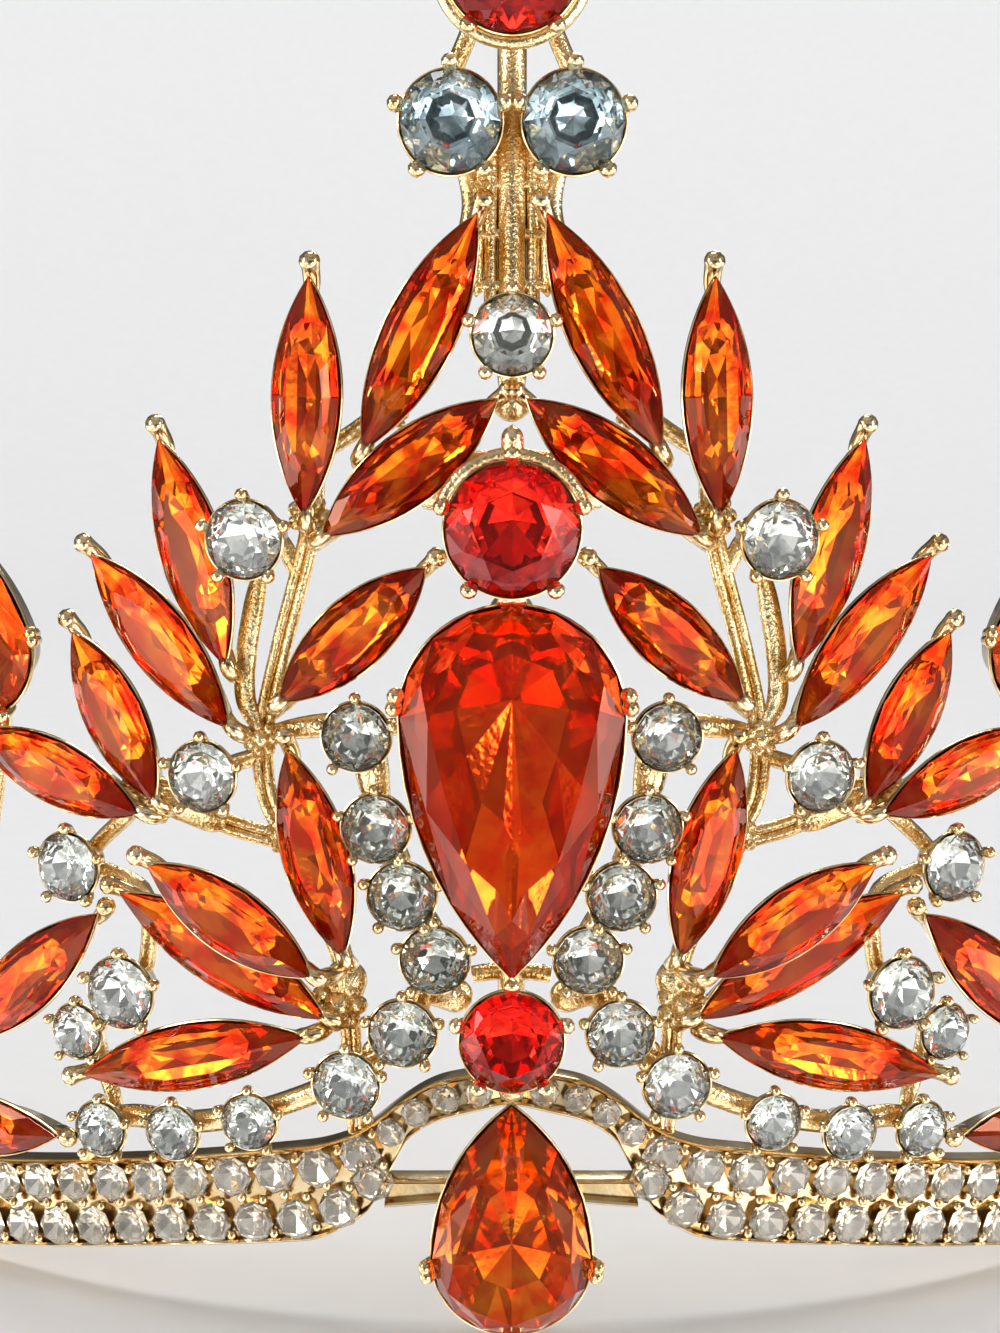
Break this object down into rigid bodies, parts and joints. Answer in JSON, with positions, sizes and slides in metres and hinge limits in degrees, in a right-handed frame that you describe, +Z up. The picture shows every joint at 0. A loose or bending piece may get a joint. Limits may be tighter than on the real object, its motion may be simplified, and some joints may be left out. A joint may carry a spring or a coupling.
{
  "type": "crystal tiara",
  "caption": "Curved openwork tiara for the front of the head: pale gold metal set with orange leaf stones, red rounds, pear-shaped stones and clear rhinestones.",
  "frame": {"origin": "middle of the tiara's box in plan, on the surface that the band stands on", "axes": "+Z up, the front faces -Y, +X to the right of someone who looks at the front"},
  "size_m": [0.1414, 0.0762, 0.0858],
  "materials": {
    "gold_plate": "polished pale gold plating",
    "orange_glass": "cut and foil-backed",
    "red_glass": "cut and foil-backed",
    "clear_glass": "cut and foil-backed"
  },
  "bodies": {
    "root": {"frame": "gold_plate", "top_round": "red_glass", "crown_round": "clear_glass", "heart_round": "red_glass", "lower_round": "red_glass", "great_pear": "orange_glass", "drop_pear": "orange_glass", "right_leaf_crest": "orange_glass", "right_leaf_upright": "orange_glass", "right_leaf_cross": "orange_glass", "right_leaf_heart": "orange_glass", "right_leaf_wing_high": "orange_glass", "right_leaf_wing_low": "orange_glass", "right_leaf_fan_inner": "orange_glass", "right_leaf_fan_front": "orange_glass", "right_leaf_fan_back": "orange_glass", "right_leaf_fan_low": "orange_glass", "right_leaf_side_high": "orange_glass", "right_leaf_side_level": "orange_glass", "right_leaf_side_low": "orange_glass", "right_leaf_side_partner": "orange_glass", "right_leaf_band": "orange_glass", "right_crest_round": "clear_glass", "right_stem_round": "clear_glass", "right_wing_round": "clear_glass", "right_side_pear": "orange_glass", "left_leaf_crest": "orange_glass", "left_leaf_upright": "orange_glass", "left_leaf_cross": "orange_glass", "left_leaf_heart": "orange_glass", "left_leaf_wing_high": "orange_glass", "left_leaf_wing_low": "orange_glass", "left_leaf_fan_inner": "orange_glass", "left_leaf_fan_front": "orange_glass", "left_leaf_fan_back": "orange_glass", "left_leaf_fan_low": "orange_glass", "left_leaf_side_high": "orange_glass", "left_leaf_side_level": "orange_glass", "left_leaf_side_low": "orange_glass", "left_leaf_side_partner": "orange_glass", "left_leaf_band": "orange_glass", "left_crest_round": "clear_glass", "left_stem_round": "clear_glass", "left_wing_round": "clear_glass", "left_side_pear": "orange_glass"}
  },
  "joints": []
}
